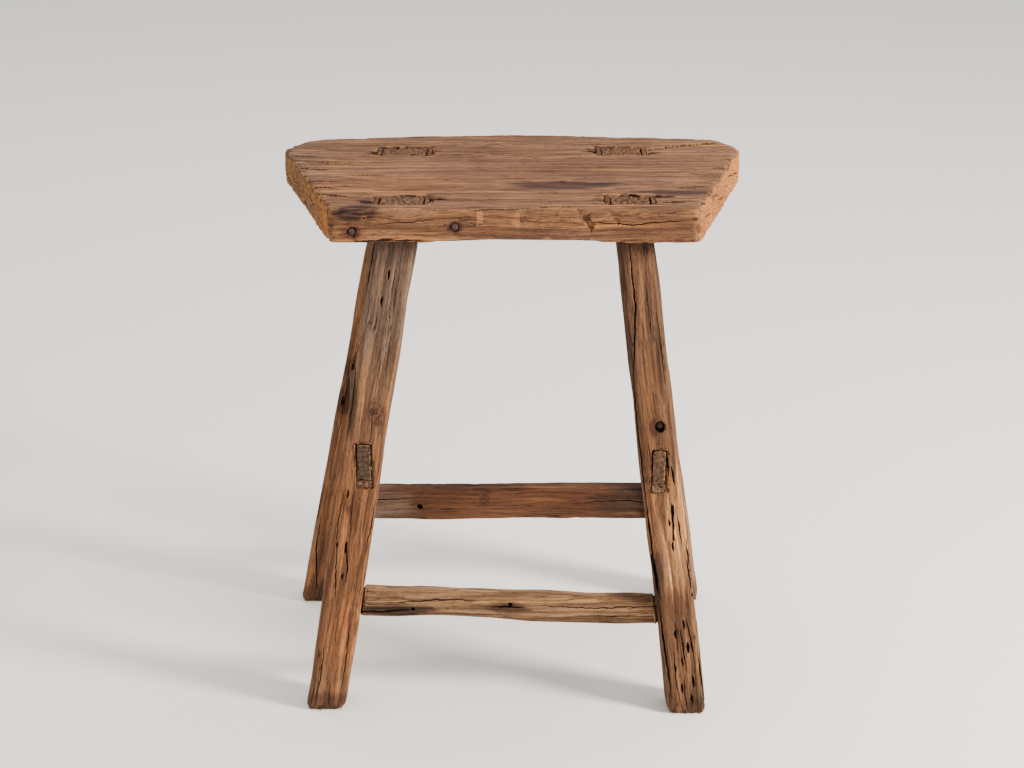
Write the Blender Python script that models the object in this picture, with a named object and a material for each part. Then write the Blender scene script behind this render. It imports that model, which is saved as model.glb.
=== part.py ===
"""Rustic wooden milking stool, in metres, +Z up, the viewer's side at -Y.

A thick elm board with a flaring outline stands on four splayed legs. Each leg ends in a tenon that
passes right through the board and is locked by a wedge at either end of its mortise. Four stretchers
tie the legs together with through tenons. Old iron nails are left in the board and in one leg.
"""

import math

import bmesh
import bpy
from mathutils import Vector
from mathutils.geometry import interpolate_bezier

# Seat board
SEAT_HEIGHT = 0.480
SEAT_THICKNESS = 0.032
SEAT_FRONT_WIDTH = 0.328
SEAT_FRONT_SHIFT = 0.0022  # the front edge sits this far to the right of the back's middle
SEAT_BACK_WIDTH = 0.4585  # between the back corners before they are rounded
SEAT_SIDE_DEPTH = 0.253  # front edge to the back corners
SEAT_BACK_BOW = 0.021  # how far the back edge bulges past its corners
BACK_CORNER_CUT = 0.052
FRONT_CORNER_CUT = 0.006
FRONT_EDGE_RADIUS = 0.009  # the front top edge is worn round
SIDE_EDGE_RADIUS = 0.004
LOWER_EDGE_RADIUS = 0.0025
FRONT_WEAR_REACH = 0.040  # how far back the front edge's rounder wear fades out

# Legs. Sections are level rectangles that follow a leaning axis.
LEG_DEPTH_TOP = 0.038
LEG_DEPTH_FOOT = 0.041
LEG_CORNER_RADIUS = 0.007
FOOT_WEAR_HEIGHT = 0.005
FOOT_WEAR_INSET = 0.003
LEG_ROW_INSET = 0.038  # front edge of the seat to the front mortises' centres
LEG_ROW_SPACING = 0.172  # front mortises to rear mortises
# side: -1 left, 1 right. row: 0 front, 1 rear. edge: the seat's side edge to the mortise's centre.
# outward, lengthwise: the leg's splay in degrees. top, foot: its width at either end.
LEGS = {
    "front_left": dict(side=-1, row=0, edge=0.0742, outward=9.05, lengthwise=4.5, top=0.0410, foot=0.0380),
    "front_right": dict(side=1, row=0, edge=0.0708, outward=6.9, lengthwise=5.4, top=0.0365, foot=0.0385),
    "rear_left": dict(side=-1, row=1, edge=0.1160, outward=11.35, lengthwise=3.4, top=0.0430, foot=0.0390),
    "rear_right": dict(side=1, row=1, edge=0.1144, outward=8.35, lengthwise=3.5, top=0.0390, foot=0.0380),
}

# Joint of leg and seat
SEAT_TENON_THICKNESS = 0.027
SEAT_TENON_RECESS = 0.0012  # the tenon's end grain lies this far below the seat
WEDGE_TOP_THICKNESS = 0.0040
WEDGE_TIP_THICKNESS = 0.0015
WEDGE_RECESS = 0.0007
WEDGE_TIP_RISE = 0.003  # the wedge's tip ends this far above the seat's underside

# Stretchers. body and tenon: height and thickness. ends: each leg, and the stretcher's centre height there.
STRETCHERS = {
    "front_stretcher": dict(
        body=(0.029, 0.025), tenon=(0.023, 0.0130), radius=0.0085,
        ends=(("front_left", 0.1022), ("front_right", 0.0948)),
    ),
    "rear_stretcher": dict(
        body=(0.035, 0.020), tenon=(0.030, 0.0120), radius=0.0025,
        ends=(("rear_left", 0.1065), ("rear_right", 0.1085)),
    ),
    "left_stretcher": dict(
        body=(0.040, 0.023), tenon=(0.034, 0.0134), radius=0.0040,
        ends=(("front_left", 0.2420), ("rear_left", 0.2400)),
    ),
    "right_stretcher": dict(
        body=(0.038, 0.023), tenon=(0.032, 0.0128), radius=0.0040,
        ends=(("front_right", 0.2385), ("rear_right", 0.2400)),
    ),
}
TENON_CORNER_RADIUS = 0.0012
TENON_END_RECESS = 0.0008
STRETCHER_WEDGE_FRONT = 0.0070  # height of the wedge under a side stretcher's front tenon
STRETCHER_WEDGE_BACK = 0.0030

# Nails
NAIL_HEAD_RADIUS = 0.0038
NAIL_HEAD_THICKNESS = 0.0016
NAIL_SHANK_RADIUS = 0.0019
NAIL_POINT_RADIUS = 0.0008
NAIL_LENGTH = 0.026
NAIL_POINT_LENGTH = 0.005
NAIL_SINK = 0.0008  # how far the head lies below the wood
# Distance from the front edge's left end, and height above the seat's underside
SEAT_NAILS = {"seat_nail_left": (0.0210, 0.0112), "seat_nail_right": (0.1115, 0.0155)}
LEG_NAIL_ABOVE_TENON = 0.0220
LEG_NAIL_SIDEWAYS = 0.0040

FIT = 0.0003  # clearance between pieces that touch
CORNER_PULL = 0.55  # how far a corner's curve leans towards the corner
CUT_PAST = 0.006  # how far a cutter runs past the face it opens
CORNER_STEPS = 3
EDGE_STEPS = 4
BACK_STEPS = 14
CURVE_STEPS = 7
NAIL_SIDES = 16

WOOD_SEAT = (0.36, 0.22, 0.13)
WOOD_LEG = (0.42, 0.25, 0.13)
WOOD_RAIL = (0.38, 0.21, 0.11)
WOOD_WEDGE = (0.22, 0.13, 0.08)
IRON = (0.10, 0.07, 0.06)

X, Y, Z = 0, 1, 2
SEAT_UNDERSIDE = SEAT_HEIGHT - SEAT_THICKNESS


def material(name, colour, roughness=0.8, metallic=0.0):
    """A plain Principled material."""
    made = bpy.data.materials.new(name)
    made.use_nodes = True
    shader = made.node_tree.nodes["Principled BSDF"]
    shader.inputs["Base Color"].default_value = (*colour, 1.0)
    shader.inputs["Roughness"].default_value = roughness
    shader.inputs["Metallic"].default_value = metallic
    return made


def loft(name, rings, at, colour, **finish):
    """A closed solid through rings of equal point counts, capped at both ends, with its origin at a point."""
    shape = bmesh.new()
    loops = [[shape.verts.new(Vector(point) - Vector(at)) for point in ring] for ring in rings]
    count = len(rings[0])
    for lower, upper in zip(loops, loops[1:]):
        for i in range(count):
            j = (i + 1) % count
            shape.faces.new((lower[i], lower[j], upper[j], upper[i]))
    shape.faces.new(loops[0])
    shape.faces.new(loops[-1])
    bmesh.ops.recalc_face_normals(shape, faces=shape.faces)
    mesh = bpy.data.meshes.new(name)
    shape.to_mesh(mesh)
    shape.free()
    mesh.shade_smooth()
    mesh.set_sharp_from_angle(angle=math.radians(35))
    mesh.materials.append(material(name, colour, **finish))
    made = bpy.data.objects.new(name, mesh)
    made.location = at
    made.parent = STOOL
    bpy.context.scene.collection.objects.link(made)
    return made


def cutter(name, rings):
    """A helper solid that only cuts others."""
    made = loft(name, rings, (0, 0, 0), IRON)
    made.hide_render = True
    made.display_type = "WIRE"
    return made


def cut(piece, tool):
    """Takes the tool's volume out of the piece."""
    step = piece.modifiers.new("cut_" + tool.name, "BOOLEAN")
    step.operation = "DIFFERENCE"
    step.solver = "EXACT"
    step.object = tool


def rounded_rectangle(width, height, radius):
    """Points (u, v) anticlockwise round a rectangle centred on zero."""
    points = []
    for quarter, (across, up) in enumerate(((1, 1), (-1, 1), (-1, -1), (1, -1))):
        centre = Vector((across * (width / 2 - radius), up * (height / 2 - radius)))
        for step in range(CORNER_STEPS + 1):
            angle = math.radians(90) * (quarter + step / CORNER_STEPS)
            points.append(centre + radius * Vector((math.cos(angle), math.sin(angle))))
    return points


def seat_half_width(depth):
    """Half the seat's width, at a distance behind its front edge, along the straight sides."""
    return (SEAT_FRONT_WIDTH + (SEAT_BACK_WIDTH - SEAT_FRONT_WIDTH) * depth / SEAT_SIDE_DEPTH) / 2


def seat_middle(depth):
    """Sideways position of the seat's middle, at a distance behind its front edge."""
    return SEAT_FRONT_SHIFT * (1 - depth / SEAT_SIDE_DEPTH)


def cut_corner(before, corner, after, length):
    """A smooth curve that replaces a corner, from a point length before it to one length after it."""
    start = corner + (before - corner).normalized() * length
    end = corner + (after - corner).normalized() * length
    pulls = start.lerp(corner, CORNER_PULL), end.lerp(corner, CORNER_PULL)
    return interpolate_bezier(start, *pulls, end, CURVE_STEPS)


def seat_outline(front, around):
    """The outline seen from above, anticlockwise, drawn in at the front and, differently, elsewhere."""
    flare = math.atan((SEAT_BACK_WIDTH - SEAT_FRONT_WIDTH) / 2 / SEAT_SIDE_DEPTH)
    corners = []
    for depth in (front, SEAT_SIDE_DEPTH - around):
        half = seat_half_width(depth) - around / math.cos(flare)
        corners += [Vector((half, depth)), Vector((-half, depth))]
    front_right, front_left, back_right, back_left = corners
    radius = (back_right.x**2 + SEAT_BACK_BOW**2) / (2 * SEAT_BACK_BOW)
    inner = back_right.x - BACK_CORNER_CUT
    back = []
    for step in range(BACK_STEPS + 1):
        x = inner - 2 * inner * step / BACK_STEPS
        back.append(Vector((x, back_right.y + SEAT_BACK_BOW - radius + math.sqrt(radius**2 - x**2))))
    outline = cut_corner(front_left, front_right, back_right, FRONT_CORNER_CUT)
    outline += cut_corner(front_right, back_right, back[0], BACK_CORNER_CUT)[:-1]
    outline += back
    outline += cut_corner(back[-1], back_left, front_left, BACK_CORNER_CUT)[1:]
    outline += cut_corner(back_left, front_left, front_right, FRONT_CORNER_CUT)
    return [Vector((point.x + seat_middle(point.y), point.y)) for point in outline]


def seat_rings():
    """Level by level outlines of the board, drawn in where its edges are rounded."""
    turns = [math.radians(90) * step / EDGE_STEPS for step in range(EDGE_STEPS + 1)]
    rings = []
    for turn in turns:
        inset = LOWER_EDGE_RADIUS * (1 - math.sin(turn))
        height = SEAT_UNDERSIDE + LOWER_EDGE_RADIUS * (1 - math.cos(turn))
        rings.append([(*point, height) for point in seat_outline(inset, inset)])
    for turn in turns:
        inward = 1 - math.cos(turn)
        ring = []
        for point in seat_outline(FRONT_EDGE_RADIUS * inward, SIDE_EDGE_RADIUS * inward):
            share = min(1.0, point.y / FRONT_WEAR_REACH)
            share = share * share * (3 - 2 * share)
            radius = FRONT_EDGE_RADIUS + (SIDE_EDGE_RADIUS - FRONT_EDGE_RADIUS) * share
            ring.append((*point, SEAT_HEIGHT - radius * (1 - math.sin(turn))))
        rings.append(ring)
    return rings


class Leg:
    """A leaning leg: where its axis is, and how wide it is, at any height."""

    def __init__(self, name):
        self.name = name
        sizes = LEGS[name]
        self.side = sizes["side"]
        self.row_sign = 2 * sizes["row"] - 1
        self.widths = (sizes["foot"], sizes["top"])
        depth = LEG_ROW_INSET + sizes["row"] * LEG_ROW_SPACING
        sideways = self.side * (seat_half_width(depth) - sizes["edge"])
        self.top = Vector((seat_middle(depth) + sideways, depth))
        outward, lengthwise = math.radians(sizes["outward"]), math.radians(sizes["lengthwise"])
        self.lean = Vector((self.side * math.tan(outward), self.row_sign * math.tan(lengthwise)))

    def centre(self, height):
        return self.top + self.lean * (SEAT_HEIGHT - height)

    def size(self, height):
        foot = Vector((self.widths[0], LEG_DEPTH_FOOT))
        return foot.lerp(Vector((self.widths[1], LEG_DEPTH_TOP)), height / SEAT_HEIGHT)

    def joint(self, height):
        return Vector((*self.centre(height), height))

    def ring(self, height, width=None, depth=None, radius=LEG_CORNER_RADIUS, inset=0.0):
        """A level section of the leg, or a rectangle of another size round the same axis."""
        size = self.size(height)
        section = rounded_rectangle((width or size.x) - 2 * inset, (depth or size.y) - 2 * inset, radius)
        return [(*(self.centre(height) + point), height) for point in section]


def wedge_thickness(height):
    """Thickness of a seat wedge at a height, from its tip at the underside to its head at the top."""
    share = (height - SEAT_UNDERSIDE) / SEAT_THICKNESS
    return WEDGE_TIP_THICKNESS + (WEDGE_TOP_THICKNESS - WEDGE_TIP_THICKNESS) * share


def make_leg(leg):
    """The leg with its worn foot, its shoulders under the seat and its tenon."""
    shoulder = SEAT_UNDERSIDE - FIT
    tenon_width = leg.size(SEAT_UNDERSIDE).x
    tenon_end = SEAT_HEIGHT - SEAT_TENON_RECESS
    tenon = dict(width=tenon_width, depth=SEAT_TENON_THICKNESS, radius=TENON_CORNER_RADIUS)
    rings = [
        leg.ring(0.0, inset=FOOT_WEAR_INSET, radius=LEG_CORNER_RADIUS - FOOT_WEAR_INSET / 2),
        leg.ring(FOOT_WEAR_HEIGHT),
        leg.ring(shoulder),
        leg.ring(shoulder, **tenon),
        leg.ring(tenon_end, **tenon),
    ]
    return loft(leg.name + "_leg", rings, leg.joint(0.0), WOOD_LEG)


def seat_mortise(leg):
    """The hole through the seat for a leg's tenon, flared upwards for the wedges at its two ends."""
    rings = []
    for height in (SEAT_UNDERSIDE - CUT_PAST, SEAT_HEIGHT + CUT_PAST):
        width = leg.size(SEAT_UNDERSIDE).x + 2 * (2 * FIT + wedge_thickness(height))
        depth = SEAT_TENON_THICKNESS + 2 * FIT
        rings.append(leg.ring(height, width, depth, TENON_CORNER_RADIUS))
    return cutter(leg.name + "_mortise", rings)


def make_seat_wedges(leg):
    """The two wedges that fill a mortise beside the tenon."""
    ends = (SEAT_UNDERSIDE + WEDGE_TIP_RISE, SEAT_HEIGHT - WEDGE_RECESS)
    for name, way in (("outer", leg.side), ("inner", -leg.side)):
        rings = []
        for height in ends:
            near = leg.size(SEAT_UNDERSIDE).x / 2 + FIT
            far = near + wedge_thickness(height)
            half = SEAT_TENON_THICKNESS / 2 - FIT
            centre = leg.centre(height)
            corners = ((near, -half), (far, -half), (far, half), (near, half))
            rings.append([(centre.x + way * x, centre.y + y, height) for x, y in corners])
        loft(f"{leg.name}_{name}_wedge", rings, leg.joint(ends[1]), WOOD_WEDGE)


class Stretcher:
    """A rail between two legs, along X or along Y, with a tenon through each leg."""

    def __init__(self, name, legs):
        self.name = name
        sizes = STRETCHERS[name]
        self.height, self.thickness = sizes["body"]
        self.tenon_height, self.tenon_thickness = sizes["tenon"]
        self.radius = sizes["radius"]
        self.legs = [legs[leg] for leg, _ in sizes["ends"]]
        self.ends = [legs[leg].joint(height) for leg, height in sizes["ends"]]
        self.axis = X if self.legs[0].row_sign == self.legs[1].row_sign else Y

    def on_face(self, which, outward, past, section):
        """The section's points where they meet the inner or outer face of leg 0 or 1, or a plane past it."""
        leg = self.legs[which]
        sign = (1 if outward else -1) * (-1 if which == 0 else 1)

        def beyond(share, offset):
            point = self.ends[0].lerp(self.ends[1], share) + offset
            face = leg.centre(point.z)[self.axis] + sign * (leg.size(point.z)[self.axis] / 2 + past)
            return point, point[self.axis] - face

        ring = []
        for across, up in section:
            offset = Vector((0, across, up) if self.axis == X else (across, 0, up))
            at_start, at_end = beyond(0.0, offset)[1], beyond(1.0, offset)[1]
            ring.append(beyond(at_start / (at_start - at_end), offset)[0])
        return ring

    def tenon_section(self, grow=0.0):
        return rounded_rectangle(
            self.tenon_thickness + 2 * grow, self.tenon_height + 2 * grow, TENON_CORNER_RADIUS
        )

    def make(self):
        body = rounded_rectangle(self.thickness, self.height, self.radius)
        tenon = self.tenon_section()
        rings = [
            self.on_face(0, True, -TENON_END_RECESS, tenon),
            self.on_face(0, False, FIT, tenon),
            self.on_face(0, False, FIT, body),
            self.on_face(1, False, FIT, body),
            self.on_face(1, False, FIT, tenon),
            self.on_face(1, True, -TENON_END_RECESS, tenon),
        ]
        return loft(self.name, rings, self.ends[0].lerp(self.ends[1], 0.5), WOOD_RAIL)

    def mortise(self):
        """One bar that opens the mortise in both legs."""
        section = self.tenon_section(FIT)
        rings = [self.on_face(0, True, CUT_PAST, section), self.on_face(1, True, CUT_PAST, section)]
        return cutter(self.name + "_mortise", rings)

    def wedge_rings(self, grow, past):
        """The wedge under the front tenon, tapering from the leg's front face to its back face."""
        half = self.tenon_thickness / 2 + grow
        top = -self.tenon_height / 2 - FIT + grow
        taper = (STRETCHER_WEDGE_FRONT - STRETCHER_WEDGE_BACK) / self.legs[0].size(self.ends[0].z).y
        rings = []
        front, back = STRETCHER_WEDGE_FRONT + taper * past, STRETCHER_WEDGE_BACK - taper * past
        for outward, tall in ((True, front), (False, back)):
            low = top - tall - 2 * grow
            section = [Vector(corner) for corner in ((half, top), (-half, top), (-half, low), (half, low))]
            rings.append(self.on_face(0, outward, past, section))
        return rings


def nail_rings(at, grow, past):
    """A round nail driven along +Y, as circles from its head's face at a point to its tip."""
    head_end = NAIL_HEAD_THICKNESS + grow
    profile = (
        (-past, NAIL_HEAD_RADIUS + grow),
        (head_end, NAIL_HEAD_RADIUS + grow),
        (head_end, NAIL_SHANK_RADIUS + grow),
        (NAIL_LENGTH - NAIL_POINT_LENGTH, NAIL_SHANK_RADIUS + grow),
        (NAIL_LENGTH + grow, NAIL_POINT_RADIUS + grow),
    )
    turns = [math.tau * step / NAIL_SIDES for step in range(NAIL_SIDES)]
    return [
        [at + Vector((radius * math.cos(turn), depth, radius * math.sin(turn))) for turn in turns]
        for depth, radius in profile
    ]


def drive_nail(name, at, wood):
    """A nail with its head a little below the face at a point, and its hole in the wood."""
    head = at + Vector((0, NAIL_SINK, 0))
    loft(name, nail_rings(head, 0.0, 0.0), head, IRON, roughness=0.6, metallic=0.7)
    cut(wood, cutter(name + "_hole", nail_rings(head, FIT, CUT_PAST)))


def centre_on_floor():
    """Moves the stool so that the origin is on the floor, in the middle of its length and width."""
    bpy.context.view_layer.update()
    graph = bpy.context.evaluated_depsgraph_get()
    corners = []
    for piece in STOOL.children:
        if not piece.hide_render:
            shown = piece.evaluated_get(graph)
            corners += [shown.matrix_world @ Vector(corner) for corner in shown.bound_box]
    for way in (X, Y):
        values = [corner[way] for corner in corners]
        STOOL.location[way] = -(min(values) + max(values)) / 2
    bpy.context.view_layer.update()


for old in list(bpy.data.objects):
    bpy.data.objects.remove(old)
STOOL = bpy.data.objects.new("stool", None)
bpy.context.scene.collection.objects.link(STOOL)

seat = loft("seat_board", seat_rings(), (0, 0, SEAT_HEIGHT), WOOD_SEAT)
legs = {name: Leg(name) for name in LEGS}
leg_solids = {}
for name, leg in legs.items():
    leg_solids[name] = make_leg(leg)
    cut(seat, seat_mortise(leg))
    make_seat_wedges(leg)

for name in STRETCHERS:
    rail = Stretcher(name, legs)
    rail.make()
    mortise = rail.mortise()
    for leg in rail.legs:
        cut(leg_solids[leg.name], mortise)
    if rail.axis == Y:
        front_leg = rail.legs[0]
        loft(name + "_wedge", rail.wedge_rings(0.0, -TENON_END_RECESS), rail.ends[0], WOOD_WEDGE)
        cut(leg_solids[front_leg.name], cutter(name + "_wedge_slot", rail.wedge_rings(FIT, CUT_PAST)))
        if front_leg.name == "front_right":
            nail_height = rail.ends[0].z + rail.tenon_height / 2 + LEG_NAIL_ABOVE_TENON
            centre = front_leg.centre(nail_height)
            face = centre.y - front_leg.size(nail_height).y / 2
            spot = Vector((centre.x + LEG_NAIL_SIDEWAYS, face, nail_height))
            drive_nail("leg_nail", spot, leg_solids[front_leg.name])

for name, (from_left, above_underside) in SEAT_NAILS.items():
    spot = Vector((SEAT_FRONT_SHIFT - SEAT_FRONT_WIDTH / 2 + from_left, 0, SEAT_UNDERSIDE + above_underside))
    drive_nail(name, spot, seat)

centre_on_floor()
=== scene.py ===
"""The looks of a rustic wooden milking stool: weathered elm, hand-made joints and rusty nails."""

import math
import random

import bmesh
import bpy
import numpy as np
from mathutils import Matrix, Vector
from mathutils.bvhtree import BVHTree


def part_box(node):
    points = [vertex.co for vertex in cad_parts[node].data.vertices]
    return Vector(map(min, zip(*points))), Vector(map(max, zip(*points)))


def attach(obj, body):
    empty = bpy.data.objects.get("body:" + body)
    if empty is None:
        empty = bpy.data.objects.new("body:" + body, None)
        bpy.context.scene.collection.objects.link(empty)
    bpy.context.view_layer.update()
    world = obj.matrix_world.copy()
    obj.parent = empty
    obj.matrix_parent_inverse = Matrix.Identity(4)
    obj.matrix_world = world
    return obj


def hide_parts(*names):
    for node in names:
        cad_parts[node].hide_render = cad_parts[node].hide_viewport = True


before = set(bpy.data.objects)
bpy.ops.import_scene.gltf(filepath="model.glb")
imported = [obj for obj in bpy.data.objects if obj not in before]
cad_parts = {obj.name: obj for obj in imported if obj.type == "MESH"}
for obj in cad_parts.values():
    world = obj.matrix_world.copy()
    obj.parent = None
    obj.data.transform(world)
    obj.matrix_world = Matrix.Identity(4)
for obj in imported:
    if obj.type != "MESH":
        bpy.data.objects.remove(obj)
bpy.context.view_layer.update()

# ---------------------------------------------------------------------------------------------
# Seat board: one thick elm board, sawn and then hewn, with its grain running from end to end. The
# top is worn by use, the ends are open end grain, and old splits run in from the ends and joints.

RIGHT = Vector((1, 0, 0))
BACK = Vector((0, 1, 0))
UP = Vector((0, 0, 1))


class Wire:
    """A node's output. Plain sums on it become Math nodes, or Vector Math nodes for a vector."""

    def __init__(self, sheet, socket):
        self.sheet = sheet
        self.socket = socket

    def sum(self, operation, *terms, out=0, **sockets):
        vectors = [term for term in terms if isinstance(term, tuple) or self.is_vector(term)]
        kind = "ShaderNodeVectorMath" if vectors or out or sockets else "ShaderNodeMath"
        return self.sheet.add(kind, {"operation": operation}, {**dict(enumerate(terms)), **sockets}, out)

    @staticmethod
    def is_vector(term):
        return isinstance(term, Wire) and term.socket.type == "VECTOR"

    def __add__(self, other):
        return self.sum("ADD", self, other)

    def __radd__(self, other):
        return self.sum("ADD", other, self)

    def __sub__(self, other):
        return self.sum("SUBTRACT", self, other)

    def __rsub__(self, other):
        return self.sum("SUBTRACT", other, self)

    def __mul__(self, other):
        return self.sum("MULTIPLY", self, other)

    def __rmul__(self, other):
        return self.sum("MULTIPLY", other, self)

    def __truediv__(self, other):
        return self.sum("DIVIDE", self, other)

    def __rtruediv__(self, other):
        return self.sum("DIVIDE", other, self)

    def scaled(self, by):
        return self.sum("SCALE", self, Scale=by)

    def dot(self, other):
        return self.sum("DOT_PRODUCT", self, other, out="Value")

    def length(self):
        return self.sum("LENGTH", self, out="Value")

    def size(self):
        return self.sum("ABSOLUTE", self)

    def fraction(self):
        return self.sum("FRACT", self)

    def rise(self, low, high, start=0.0, end=1.0):
        """A smooth change from start to end, as the value goes from low to high."""
        sockets = {"Value": self, "From Min": low, "From Max": high, "To Min": start, "To Max": end}
        return self.sheet.add("ShaderNodeMapRange", {"interpolation_type": "SMOOTHSTEP"}, sockets)


class Sheet:
    """A node tree being filled in."""

    def __init__(self, tree):
        self.tree = tree

    def add(self, kind, settings=None, sockets=None, out=0):
        """A new node: its settings first, then the numbers or wires that go into its sockets."""
        node = self.tree.nodes.new(kind)
        for name, value in (settings or {}).items():
            setattr(node, name, value)
        for name, value in (sockets or {}).items():
            if isinstance(value, Wire):
                self.tree.links.new(value.socket, node.inputs[name])
            else:
                node.inputs[name].default_value = value
        return Wire(self, node.outputs[out] if node.outputs else None)

    def noise(self, where, scale, detail=2.0, roughness=0.5, seed=0.0, out=0):
        sockets = {"Vector": where, "W": seed, "Scale": scale, "Detail": detail, "Roughness": roughness}
        return self.add("ShaderNodeTexNoise", {"noise_dimensions": "4D"}, sockets, out)

    def mix(self, share, first, second, blend="MIX"):
        """One colour laid over another by a share."""
        sockets = {0: share, 6: first, 7: second}
        for key in (6, 7):
            if not isinstance(sockets[key], Wire):
                sockets[key] = (*sockets[key], 1.0)
        return self.add("ShaderNodeMix", {"data_type": "RGBA", "blend_type": blend}, sockets, 2)


def new_tree(name, inputs):
    """A Geometry Nodes tree with named inputs: its sheet, its input wires, and the step that ends it."""
    tree = bpy.data.node_groups.new(name, "GeometryNodeTree")
    kinds = {"geometry": "NodeSocketGeometry", "material": "NodeSocketMaterial"}
    tree.interface.new_socket("Geometry", in_out="OUTPUT", socket_type="NodeSocketGeometry")
    for label, value in inputs.items():
        kind = kinds.get(value) or ("NodeSocketVector" if isinstance(value, tuple) else "NodeSocketFloat")
        socket = tree.interface.new_socket(label, in_out="INPUT", socket_type=kind)
        if value not in kinds:
            socket.default_value = value
    sheet = Sheet(tree)
    entry = sheet.add("NodeGroupInput").socket.node
    wires = {socket.name: Wire(sheet, socket) for socket in entry.outputs if socket.name}

    def end(shape):
        whole = sheet.add("GeometryNodeRealizeInstances", sockets={"Geometry": shape})
        sockets = {"Geometry": whole, "Material": wires["Material"]}
        sheet.add("NodeGroupOutput", sockets={0: sheet.add("GeometryNodeSetMaterial", sockets=sockets)})
        return tree

    return sheet, wires, end


def proud_of(sheet, place, facing, rounds):
    """How far each point stands above its blurred surroundings, in metres: edges are above zero."""
    sockets = {"Value": place, "Iterations": rounds}
    blurred = sheet.add("GeometryNodeBlurAttribute", {"data_type": "FLOAT_VECTOR"}, sockets)
    return (place - blurred).dot(facing)


def weathering_tree():
    """Wood after years of use: soft wood is eaten back in lines along the grain, arrises are chipped,
    faces keep the waves of the adze, and end grain is pitted. What lies inside a joint is left whole,
    which is told by its distance from the piece's convex hull. The stool is also a little out of true.
    That bend is the same for every piece at the same place, and fades out at the floor."""
    sheet, given, end = new_tree("weathering", {
        "Geometry": "geometry", "Material": "material", "Grain": (1.0, 0.0, 0.0),
        "Ridge spacing": 0.008, "Ridge depth": 0.0006, "Fibre spacing": 0.0025, "Fibre depth": 0.0003,
        "Wave depth": 0.0015, "Chip depth": 0.002, "Pit depth": 0.001, "Bend": 0.002, "Seed": 0.0,
    })
    place = sheet.add("GeometryNodeInputPosition")
    facing = sheet.add("GeometryNodeInputNormal")
    seed = given["Seed"]
    along = place.dot(given["Grain"])

    def drawn_out(spacing, stretch, shift, detail=1.0):
        squeezed = place - given["Grain"].scaled(along * (1.0 - 1.0 / stretch))
        return sheet.noise(squeezed.scaled(1.0 / spacing), 1.0, detail, 0.6, seed + shift)

    side_on = facing.dot(given["Grain"]).size().rise(0.5, 0.9, 1.0, 0.0)
    eaten = drawn_out(given["Ridge spacing"], 16.0, 0.0).rise(0.35, 0.7) * given["Ridge depth"]
    eaten = eaten + drawn_out(given["Fibre spacing"], 22.0, 7.0, 2.0).rise(0.3, 0.7) * given["Fibre depth"]
    eaten = (eaten + drawn_out(0.045, 2.0, 3.0).rise(0.35, 0.7) * given["Wave depth"]) * side_on
    pits = sheet.noise(place.scaled(1.0 / 0.0042), 1.0, 3.0, 0.6, seed + 5.0)
    eaten = eaten + pits.rise(0.35, 0.75) * given["Pit depth"] * (1.0 - side_on)
    arris = proud_of(sheet, place, facing, 10).rise(0.00012, 0.0006)
    eaten = eaten + arris * drawn_out(0.0065, 3.0, 9.0, 2.0).rise(0.47, 0.66) * given["Chip depth"]
    hull = sheet.add("GeometryNodeConvexHull", None, {"Geometry": given["Geometry"]})
    sockets = {0: hull, "Sample Position": place}
    reach = sheet.add("GeometryNodeProximity", {"target_element": "FACES"}, sockets, 1)
    eaten = eaten * reach.rise(0.0015, 0.0035, 1.0, 0.0)
    sway = sheet.add(
        "ShaderNodeTexNoise", {"noise_dimensions": "3D"},
        {"Vector": place, "Scale": 8.0, "Detail": 1.0, "Roughness": 0.4}, "Color",
    )
    height = place.dot((0.0, 0.0, 1.0))
    bend = (sway - (0.5, 0.5, 0.5)).scaled(given["Bend"] * 2.0 * height.rise(0.0, 0.06))
    sockets = {"Geometry": given["Geometry"], "Offset": bend - facing.scaled(eaten)}
    return end(sheet.add("GeometryNodeSetPosition", sockets=sockets))


def wear_and_shade_tree():
    """Stores how far each point stands proud of its surroundings, in millimetres: above zero on the edges
    and ridges that hands and feet rub, below zero in grooves and splits. The wood lightens the first as
    wear, and darkens the second as painted shade with soiling."""
    sheet, given, end = new_tree("wear", {"Geometry": "geometry", "Material": "material"})
    place = sheet.add("GeometryNodeInputPosition")
    facing = sheet.add("GeometryNodeInputNormal")
    proud = proud_of(sheet, place, facing, 12) * 1000.0
    settings = {"data_type": "FLOAT", "domain": "POINT"}
    sockets = {"Geometry": given["Geometry"], "Name": "proud", "Value": proud}
    return end(sheet.add("GeometryNodeStoreNamedAttribute", settings, sockets))


def beetle_tree():
    """The flight holes of wood beetles: short round bars scattered over a piece, to be cut out of it."""
    sheet, given, end = new_tree("beetle_holes", {
        "Geometry": "geometry", "Material": "material", "Holes per square metre": 100.0,
        "Radius": 0.0007, "Depth": 0.004, "Seed": 0.0,
    })
    spots = sheet.add("GeometryNodeDistributePointsOnFaces", None, {
        "Mesh": given["Geometry"], "Density": given["Holes per square metre"], "Seed": given["Seed"],
    })
    turn = Wire(sheet, spots.socket.node.outputs["Rotation"])
    bar = sheet.add("GeometryNodeMeshCylinder", None, {
        "Vertices": 8, "Radius": given["Radius"], "Depth": given["Depth"] * 2.0,
    })
    smallest, largest = 0.6, 1.5
    sockets = {2: smallest, 3: largest, 8: given["Seed"]}
    spread = sheet.add("FunctionNodeRandomValue", {"data_type": "FLOAT"}, sockets, 1)
    # The bars' faces are marked 1, so that the walls of the holes they cut are painted nearly black:
    # painted shade, with soiling.
    dark = sheet.add("GeometryNodeStoreNamedAttribute", {"data_type": "FLOAT", "domain": "FACE"}, {
        "Geometry": bar, "Name": "dirt_and_shade", "Value": 1.0,
    })
    return end(sheet.add("GeometryNodeInstanceOnPoints", None, {
        "Points": spots, "Instance": dark, "Rotation": turn, "Scale": spread,
    }))


BEND = 0.0012  # the same for every piece, so that the joints stay together
WEATHERING = weathering_tree()
WEAR_AND_SHADE = wear_and_shade_tree()
BEETLE_HOLES = beetle_tree()


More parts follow.
